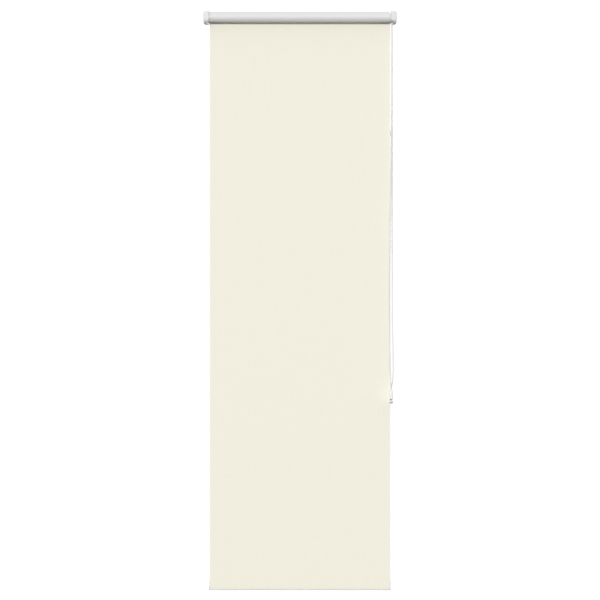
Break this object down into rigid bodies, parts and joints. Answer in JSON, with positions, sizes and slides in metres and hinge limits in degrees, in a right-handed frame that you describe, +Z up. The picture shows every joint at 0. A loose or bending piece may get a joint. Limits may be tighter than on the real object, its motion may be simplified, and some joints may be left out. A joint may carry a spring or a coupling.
{
  "type": "roller blind",
  "caption": "Chain-operated roller blind: cream blackout fabric on a tube between covered wall brackets, weighted hem, bead chain with tensioner.",
  "frame": {"origin": "point of the wall plane midway between the two brackets, at the height of the roller's axis", "axes": "+X along the roller towards the chain, +Y into the wall, so the room is at -Y, +Z up"},
  "size_m": [0.5, 0.0676, 1.5009],
  "materials": {
    "bracket_steel": "zinc plated",
    "screw_steel": "zinc plated",
    "spring_steel": "spring steel",
    "tube_steel": "galvanised",
    "bar_aluminium": "mill finish",
    "white_plastic": "satin white",
    "grey_plastic": "satin grey",
    "clear_plastic": "milky clear",
    "chain_plastic": "white",
    "blackout_fabric": "fine plain weave, cream",
    "fabric_coating": "smooth coated back, pale grey"
  },
  "bodies": {
    "root": {"left_bracket": "bracket_steel", "right_bracket": "bracket_steel", "left_bracket_cover": "white_plastic", "right_bracket_cover": "white_plastic", "left_upper_wall_screw": "screw_steel", "left_lower_wall_screw": "screw_steel", "right_upper_wall_screw": "screw_steel", "right_lower_wall_screw": "screw_steel", "clutch_body": "white_plastic", "clutch_retainer": "bracket_steel", "clutch_screw": "screw_steel", "wrap_spring_inner": "spring_steel", "wrap_spring_outer": "spring_steel", "fabric_sheet": "blackout_fabric", "bead_chain": "chain_plastic", "chain_connector": "clear_plastic", "tensioner_body": "white_plastic", "tensioner_lid": "white_plastic", "tensioner_pin": "screw_steel"},
    "roller": {"roller_tube": "tube_steel", "fabric_roll": "fabric_coating", "chain_wheel": "white_plastic", "drive_crown": "grey_plastic", "idle_plug": "white_plastic", "idle_bush": "grey_plastic", "idle_spring": "spring_steel"},
    "idle_pin": {"idle_pin": "bracket_steel"},
    "bottom_rail": {"hem_pocket": "blackout_fabric", "bottom_bar": "bar_aluminium", "left_bar_cap": "grey_plastic", "right_bar_cap": "grey_plastic"},
    "tensioner_pulley": {"tensioner_pulley": "grey_plastic"}
  },
  "joints": [
    {"name": "bar_lift", "type": "slide", "parent": "root", "child": "bottom_rail", "axis": [0, 0, 1], "range_m": [0, 1.4], "deforming": ["fabric_sheet"]},
    {"name": "roller_turn", "type": "hinge", "parent": "root", "child": "roller", "pos_m": [0, -0.028, 0], "axis": [1, 0, 0], "range_deg": [0, 5220]},
    {"name": "idle_pin_slide", "type": "slide", "parent": "roller", "child": "idle_pin", "axis": [1, 0, 0], "range_m": [0, 0.006], "stiffness_N_per_m": 500, "springref_m": -0.006, "deforming": ["idle_spring"]},
    {"name": "pulley_turn", "type": "hinge", "parent": "root", "child": "tensioner_pulley", "pos_m": [0.2362, -0.0305, -0.9757], "axis": [1, 0, 0], "range_deg": [0, 6960]}
  ],
  "couplings": [
    {"joint": "roller_turn", "follows": "bar_lift", "rad_per_m": 65.076},
    {"joint": "pulley_turn", "follows": "bar_lift", "rad_per_m": 86.768}
  ]
}
